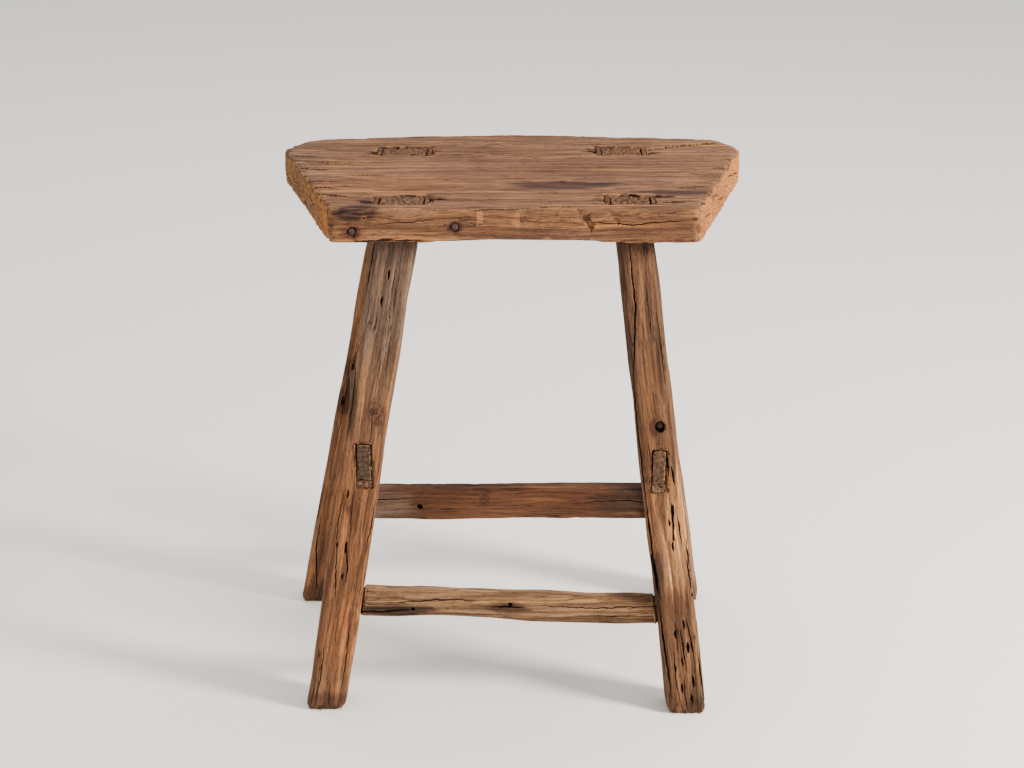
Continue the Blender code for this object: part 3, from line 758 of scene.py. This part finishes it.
make_leg(
    "front_right", 1,
    ((0.072, 0.031, 0.013), (0.148, 0.064, 0.027), (0.215, 0.102, 0.045), (0.36, 0.155, 0.052)),
    splits=(
        (((0.449, -0.006), (0.389, -0.006), (0.350, -0.011), (0.320, -0.0155)), 0.0015, 0.010),
        (((0.325, -0.0155), (0.283, -0.016), (0.241, -0.016), (0.200, -0.016)), 0.0014, 0.010),
        (((0.206, -0.0160), (0.161, -0.0155), (0.142, -0.0145)), 0.0017, 0.010),
        (((0.156, -0.0165), (0.136, -0.0150), (0.118, -0.0140)), 0.0037, 0.010),
        (((0.112, -0.0145), (0.084, -0.0145), (0.015, -0.0125)), 0.0019, 0.010),
        (((0.205, 0.0060), (0.185, 0.0065), (0.160, 0.0040)), 0.0019, 0.004),
        (((0.254, 0.0075), (0.242, 0.0074), (0.230, 0.0070)), 0.0017, 0.006),
        (((0.262, -0.0080), (0.240, -0.0078), (0.222, -0.0072)), 0.0009, 0.004),
        (((0.192, 0.0110), (0.165, 0.0120)), 0.0015, 0.003),
        (((0.240, 0.0105), (0.222, 0.0115)), 0.0019, 0.005),
        (((0.150, 0.0150), (0.118, 0.0170), (0.095, 0.0180)), 0.0019, 0.006),
        (((0.170, 0.0165), (0.130, 0.0175)), 0.0014, 0.005),
        (((0.085, 0.0020), (0.062, 0.0034), (0.040, 0.0040)), 0.0012, 0.006),
        (((0.070, -0.0060), (0.035, -0.0070), (0.004, -0.0040)), 0.0010, 0.005),
        (((0.095, 0.0090), (0.070, 0.0110), (0.048, 0.0125)), 0.0015, 0.007),
        (((0.060, 0.0160), (0.030, 0.0170), (0.004, 0.0180)), 0.0016, 0.007),
        (((0.036, 0.0010), (0.018, 0.0000), (0.002, 0.0010)), 0.0012, 0.005),
        (((0.090, -0.0020), (0.060, -0.0020)), 0.0010, 0.004),
        (((0.110, 0.010), (0.070, 0.000), (0.010, -0.010)), 0.0022, 0.008, (-1, 0, 0)),
        (((0.080, -0.010), (0.040, 0.000), (0.004, 0.010)), 0.0020, 0.007, (-1, 0, 0)),
        (((0.410, 0.004), (0.360, 0.006)), 0.0006, 0.003),
        (((0.390, 0.012), (0.310, 0.013)), 0.0007, 0.004),
    ),
    pocks=(
        (0.198, 0.0075, 0.0018, 0.005), (0.186, 0.0030, 0.0013, 0.004), (0.173, 0.0056, 0.0012, 0.004),
        (0.163, 0.0036, 0.0014, 0.004), (0.088, 0.0060, 0.0016, 0.004), (0.079, -0.0030, 0.0014, 0.004),
        (0.066, 0.0075, 0.0018, 0.005), (0.052, 0.0010, 0.0014, 0.004), (0.046, -0.0060, 0.0012, 0.004),
        (0.033, 0.0090, 0.0020, 0.005), (0.026, -0.0020, 0.0016, 0.004), (0.016, 0.0060, 0.0018, 0.004),
    ),
    tints=(
        # Painted shade: the top of the leg, just under the seat, is darkened.
        (0.445, 0.0, (0.05, 0.05, 0.022), (0.62, 0.60, 0.62), 0.75),
        (0.390, 0.0, (0.05, 0.05, 0.08), (0.74, 0.76, 0.86), 0.8),
        (0.330, 0.008, (0.007, 0.03, 0.040), (0.72, 0.68, 0.66), 0.8),
        (0.300, -0.004, (0.010, 0.03, 0.060), (1.2, 1.15, 1.0), 0.7),
        (0.170, 0.009, (0.014, 0.04, 0.075), (2.6, 2.8, 2.8), 0.95),
        (0.200, 0.004, (0.03, 0.04, 0.055), (1.35, 1.3, 1.15), 0.8),
        # Painted shade: a dark strip down the left edge just above the front stretcher, where a gap at the
        # joint would lie in shade.
        (0.128, -0.015, (0.007, 0.03, 0.035), (0.25, 0.20, 0.18), 0.85),
        (0.110, 0.002, (0.013, 0.03, 0.018), (0.62, 0.52, 0.50), 0.8),
        (0.010, 0.0, (0.05, 0.06, 0.070), (0.92, 0.98, 0.98), 0.9),
        (0.004, 0.012, (0.016, 0.05, 0.020), SOOTY, 0.8),
        (0.060, 0.011, (0.008, 0.03, 0.040), PALE, 0.9),
        (0.032, -0.004, (0.005, 0.03, 0.022), PALE, 0.8),
        (0.2765, 0.0005, (0.0085, 0.02, 0.0095), (0.35, 0.25, 0.20), 0.9),
    ),
    holes=((NAIL_SPOTS["leg_nail"], 0.0050, 0.0085),), Ridge_depth=0.0011, Chip_depth=0.0026,
)
make_leg(
    "rear_left", 2,
    ((0.094, 0.036, 0.014), (0.197, 0.080, 0.029), (0.262, 0.116, 0.048), (0.36, 0.15, 0.045)),
    splits=(
        (((0.100, -0.0150), (0.060, -0.0133), (0.009, -0.0040)), 0.0014, 0.008),
        (((0.300, -0.0080), (0.230, -0.0130), (0.170, -0.0130)), 0.0011, 0.006),
        (((0.400, 0.0020), (0.340, 0.0000)), 0.0010, 0.005),
    ),
    pocks=((0.262, -0.0110, 0.0016, 0.006), (0.225, -0.0150, 0.0018, 0.006)),
    tints=(
        (0.005, 0.0, (0.06, 0.06, 0.022), SOOTY, 0.85),
        (0.225, -0.013, (0.016, 0.03, 0.016), SOOTY, 0.8),
        (0.262, -0.011, (0.016, 0.03, 0.012), SOOTY, 0.7),
        (0.400, 0.0, (0.06, 0.06, 0.10), GREYED, 0.8),
    ),
)
make_leg(
    "rear_right", 3,
    ((0.120, 0.050, 0.025), (0.250, 0.115, 0.055), (0.300, 0.160, 0.080), (0.38, 0.18, 0.06)),
    splits=(
        (((0.430, 0.0050), (0.330, 0.0060), (0.250, 0.0040)), 0.0011, 0.006),
        (((0.120, -0.0050), (0.050, -0.0040), (0.006, -0.0020)), 0.0012, 0.006),
    ),
    pocks=(),
    tints=((0.005, 0.0, (0.06, 0.06, 0.020), SOOTY, 0.8),),
)

# ---------------------------------------------------------------------------------------------
# Stretchers: four elm rails tenoned right through the legs, the front one little more than a cleft
# branch. Their tenons' ends show on the legs' outer faces as worn end grain.

RAIL_GRID = 0.0010
RAIL_PITH = Vector((0.01, 0.012, -0.03))
RAIL_RING = 0.0045
RAIL_WEAR = {"Ridge_depth": 0.0008, "Fibre_depth": 0.0004, "Wave_depth": 0.0012, "Chip_depth": 0.0020}


def make_rail(name, number, tones, splits, bores, tints, knots=(), contrast=1.0, **wear):
    """A stretcher from its splits (points, way in, width, depth), bores, tints for stain and for painted
    shade, and knots.
    """
    low, high = (Vector(corner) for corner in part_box(name))
    spans = high - low
    grain = RIGHT if spans.x > spans.y else BACK
    shape = fine_copy(name + "_wood", name, RAIL_GRID)
    seed = 20 + number
    use_tree(
        shape, WEATHERING, Grain=grain, Ridge_spacing=0.007, Fibre_spacing=0.003,
        Pit_depth=0.0012, Bend=BEND, Seed=float(seed), **{**RAIL_WEAR, **wear},
    )
    settle(shape)
    cuts = Cuts(shape, seed)
    for line, inward, width, depth in splits:
        cuts.split(line, inward, width, depth)
    for spot, inward, radius, depth in bores:
        cuts.bore(cuts.touch(spot, inward), inward, radius, depth)
    cuts.take_out(HOLES_PER_SQUARE_METRE, number)
    pith = (low + high) / 2 + RAIL_PITH
    look = wood(name + "_elm", grain, pith, tones, RAIL_RING, float(seed), tints, knots, None, contrast)
    finish_wood(shape, look, name)


make_rail(
    "front_stretcher", 0,
    ((0.115, 0.056, 0.025), (0.262, 0.140, 0.068), (0.360, 0.198, 0.098), (0.46, 0.24, 0.090)),
    splits=(
        (((-0.120, -0.130, 0.104), (-0.070, -0.130, 0.108), (-0.030, -0.130, 0.107)), BACK, 0.0016, 0.004),
        (((0.020, -0.130, 0.103), (0.080, -0.130, 0.100), (0.140, -0.130, 0.102)), BACK, 0.0014, 0.004),
        (((0.060, -0.130, 0.093), (0.120, -0.130, 0.092)), BACK, 0.0014, 0.004),
        (((-0.145, -0.130, 0.094), (-0.095, -0.130, 0.097)), BACK, 0.0030, 0.005),
        (((-0.020, -0.130, 0.100), (0.010, -0.130, 0.101)), BACK, 0.0026, 0.004),
    ),
    bores=(
        ((-0.002, -0.13, 0.103), BACK, 0.0022, 0.004),
        ((-0.092, -0.13, 0.098), BACK, 0.0020, 0.004),
    ),
    tints=(
        ((-0.108, -0.131, 0.096), (0.045, 0.02, 0.0075), (0.16, 0.13, 0.12), 0.95),
        ((-0.004, -0.130, 0.100), (0.024, 0.02, 0.0065), (0.24, 0.20, 0.19), 0.85),
        # Painted shade: long dark bands along the lower part of the front face.
        ((-0.060, -0.130, 0.089), (0.08, 0.02, 0.005), (0.42, 0.38, 0.35), 0.8),
        ((0.080, -0.130, 0.088), (0.09, 0.02, 0.004), (0.45, 0.40, 0.36), 0.8),
        # Painted shade: narrow dark bands at both ends, where the stretcher meets the legs.
        ((-0.151, -0.130, 0.100), (0.007, 0.03, 0.030), (0.50, 0.44, 0.40), 0.85),
        ((0.148, -0.130, 0.100), (0.007, 0.03, 0.030), (0.46, 0.42, 0.40), 0.85),
    ),
    Ridge_depth=0.0012, Wave_depth=0.0026, Chip_depth=0.0026,
)
make_rail(
    "rear_stretcher", 1,
    ((0.070, 0.024, 0.010), (0.115, 0.043, 0.018), (0.152, 0.062, 0.027), (0.20, 0.08, 0.025)),
    splits=(
        (((0.060, 0.098, 0.108), (0.110, 0.098, 0.112), (0.150, 0.098, 0.109)), BACK, 0.0014, 0.004),
        (((-0.150, 0.098, 0.112), (-0.100, 0.098, 0.113)), BACK, 0.0010, 0.003),
    ),
    bores=(((-0.0935, 0.099, 0.105), BACK, 0.0028, 0.006),),
    tints=(
        ((-0.150, 0.099, 0.106), (0.055, 0.02, 0.03), (1.60, 2.50, 4.0), 0.9),
        ((0.130, 0.099, 0.106), (0.055, 0.02, 0.03), (0.50, 0.62, 0.75), 0.9),
    ),
    knots=(((-0.028, 0.099, 0.113), 0.0055),), contrast=0.7, Chip_depth=0.001,
)
SIDE_TONES = ((0.090, 0.045, 0.024), (0.190, 0.100, 0.052), (0.260, 0.150, 0.085), (0.33, 0.17, 0.07))
make_rail(
    "left_stretcher", 2, SIDE_TONES,
    splits=((((-0.16, -0.05, 0.242), (-0.16, 0.03, 0.240)), (1, 0, 0), 0.0016, 0.004),),
    bores=(), tints=(((-0.14, -0.124, 0.240), (0.04, 0.012, 0.04), (0.75, 0.80, 0.90), 0.8),),
)
make_rail(
    "right_stretcher", 3, SIDE_TONES,
    splits=((((0.15, -0.04, 0.240), (0.15, 0.05, 0.238)), (-1, 0, 0), 0.0016, 0.004),),
    bores=(), tints=(((0.13, -0.124, 0.240), (0.04, 0.012, 0.04), (1.0, 0.92, 0.88), 0.8),),
)

# ---------------------------------------------------------------------------------------------
# Wedges: small splints of dry elm driven into both ends of each mortise in the seat and under the
# side stretchers' ends. Only their broken ends show, dark with dirt.

WEDGE_GRID = 0.0005
RAIL_WEDGE_END = (0.2, 0.11, 0.06)
WEDGE_TONES = ((0.080, 0.036, 0.018), (0.17, 0.080, 0.038), (0.23, 0.118, 0.060), (0.28, 0.14, 0.06))
wedge_look = wood("seat_wedge_elm", UP, (0.0, 0.0, 0.0), WEDGE_TONES, seed=30.0, end_tone=TENON_END)
rail_wedge_look = wood(
    "rail_wedge_elm", BACK, (0.0, 0.0, 0.2), WEDGE_TONES, seed=31.0, end_tone=RAIL_WEDGE_END,
)
for node in sorted(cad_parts):
    if not node.endswith("wedge"):
        continue
    in_seat = "stretcher" not in node
    grain = UP if in_seat else BACK
    wedge = fine_copy(node + "_wood", node, WEDGE_GRID)
    use_tree(
        wedge, WEATHERING, Grain=grain, Ridge_spacing=0.003, Ridge_depth=0.0003, Fibre_spacing=0.001,
        Fibre_depth=0.0001, Wave_depth=0.0, Chip_depth=0.0012, Pit_depth=0.0022, Bend=BEND, Seed=30.0,
    )
    settle(wedge)
    finish_wood(wedge, wedge_look if in_seat else rail_wedge_look, node)

# ---------------------------------------------------------------------------------------------
# Nails: three forged nails with hammered heads, driven below the surface and rusted. Their square
# shanks taper to a point inside the wood.


def rusty_iron():
    """Pitted, scaling rust with a little bare iron in patches."""
    material = bpy.data.materials.new("rusty_iron")
    material.use_nodes = True
    sheet = Sheet(material.node_tree)
    shader = material.node_tree.nodes["Principled BSDF"]
    place = sheet.add("ShaderNodeTexCoord", out="Object")
    patch = sheet.noise(place, 420.0, 4.0, 0.65, 2.0)
    scale = sheet.noise(place, 1600.0, 3.0, 0.6, 5.0)
    colour = sheet.mix(patch.rise(0.35, 0.6), (0.014, 0.008, 0.007), (0.050, 0.018, 0.010))
    colour = sheet.mix(scale.rise(0.5, 0.7) * 0.6, colour, (0.13, 0.048, 0.020))
    bare = patch.rise(0.60, 0.68) * 0.8
    colour = sheet.mix(bare, colour, (0.15, 0.14, 0.13))
    sockets = {"Height": patch + scale * 0.4, "Strength": 0.8, "Distance": 0.0004}
    bump = sheet.add("ShaderNodeBump", None, sockets)
    wires = {"Base Color": colour, "Roughness": 0.9 - bare * 0.5, "Metallic": bare * 0.9, "Normal": bump}
    for socket, wire in wires.items():
        material.node_tree.links.new(wire.socket, shader.inputs[socket])
    return material


iron = rusty_iron()
HEAD_RADIUS = 0.0034
CROWN = 0.0012  # how far the crown stands before the rim
HEAD_SIDES = 24
# A head from its hammered crown over its bevel and rim to its underside: share of the radius, and depth.
HEAD_PROFILE = (
    (0.02, -0.0012), (0.45, -0.0011), (0.80, -0.0006), (1.0, 0.0002), (0.96, 0.0012), (0.30, 0.0018),
)
DENT = 0.00012
SHANK = 0.0024
CORNERS = ((-1, -1), (1, -1), (1, 1), (-1, 1))
SUNK = {"seat_nail_left": 0.0012, "seat_nail_right": 0.0012, "leg_nail": 0.0045}
for number, (node, spot) in enumerate(NAIL_SPOTS.items()):
    tip = Vector(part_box(node)[1]).y
    chance = random.Random(40 + number)
    flats = [chance.uniform(0.86, 1.08) for _ in range(HEAD_SIDES)]
    rings = []
    for share, drop in HEAD_PROFILE:
        ring = []
        for turn, flat in enumerate(flats):
            smooth = (flat + flats[turn - 1] + flats[(turn + 1) % HEAD_SIDES]) / 3
            angle = math.tau * turn / HEAD_SIDES
            reach = HEAD_RADIUS * share * smooth
            y = spot.y + SUNK[node] + drop + CROWN + chance.uniform(-DENT, DENT)
            ring.append((spot.x + math.cos(angle) * reach, y, spot.z + math.sin(angle) * reach))
        rings.append(ring)
    shape = prism(rings)
    # The shank, from inside the head to its point.
    start = spot.y + SUNK[node] + 0.0020
    rings = []
    for y, half in ((start, SHANK / 2), ((start + tip) / 2, SHANK / 2.4), (tip - 0.0005, 0.0002)):
        rings.append([(spot.x + across * half, y, spot.z + up * half) for across, up in CORNERS])
    prism(rings, shape)
    nail = new_piece(node + "_iron", shape)
    nail.data.materials.append(iron)
    nail.data.shade_smooth()
    nail.data.set_sharp_from_angle(angle=math.radians(40))
    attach(nail, "root")
    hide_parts(node)

# ---------------------------------------------------------------------------------------------
# Floor, light and camera: a pale floor, one warm lamp low on the right, a large soft lamp overhead
# and a pale sky. The camera looks down a little at the stool's front.

FLOOR_REACH = 6.0
boards = bmesh.new()
bmesh.ops.create_grid(boards, x_segments=1, y_segments=1, size=FLOOR_REACH)
floor = new_piece("floor", boards)
floor_paint = bpy.data.materials.new("floor_paint")
floor_paint.use_nodes = True
paint = floor_paint.node_tree.nodes["Principled BSDF"].inputs
paint["Base Color"].default_value = (0.94, 0.91, 0.88, 1)
paint["Roughness"].default_value = 0.9
floor.data.materials.append(floor_paint)


def soft_lamp(name, place, size, power, colour):
    """A square studio lamp aimed at the middle of the stool."""
    place = Vector(place)
    lamp = bpy.data.lights.new(name, "AREA")
    lamp.size = size
    lamp.energy = power
    lamp.color = colour
    holder = bpy.data.objects.new(name, lamp)
    holder.location = place
    holder.rotation_euler = (Vector((0, 0, 0.25)) - place).to_track_quat("-Z", "Y").to_euler()
    bpy.context.scene.collection.objects.link(holder)


soft_lamp("key", (2.0, -0.95, 1.25), 0.5, 130, (1.0, 0.93, 0.84))
soft_lamp("overhead", (0.0, 0.9, 3.0), 3.0, 70, (1.0, 0.98, 0.96))
world = bpy.data.worlds.new("studio")
world.use_nodes = True
sky = world.node_tree.nodes["Background"].inputs
sky["Color"].default_value = (1.0, 0.98, 0.96, 1)
sky["Strength"].default_value = 0.90
bpy.context.scene.world = world

camera = bpy.data.objects.new("camera", bpy.data.cameras.new("camera"))
camera.data.lens = 84.375
camera.location = (-0.0003, -2.1453, 1.05)
camera.rotation_euler = (math.radians(90 - 19.9), 0, 0)
bpy.context.scene.collection.objects.link(camera)
bpy.context.scene.camera = camera
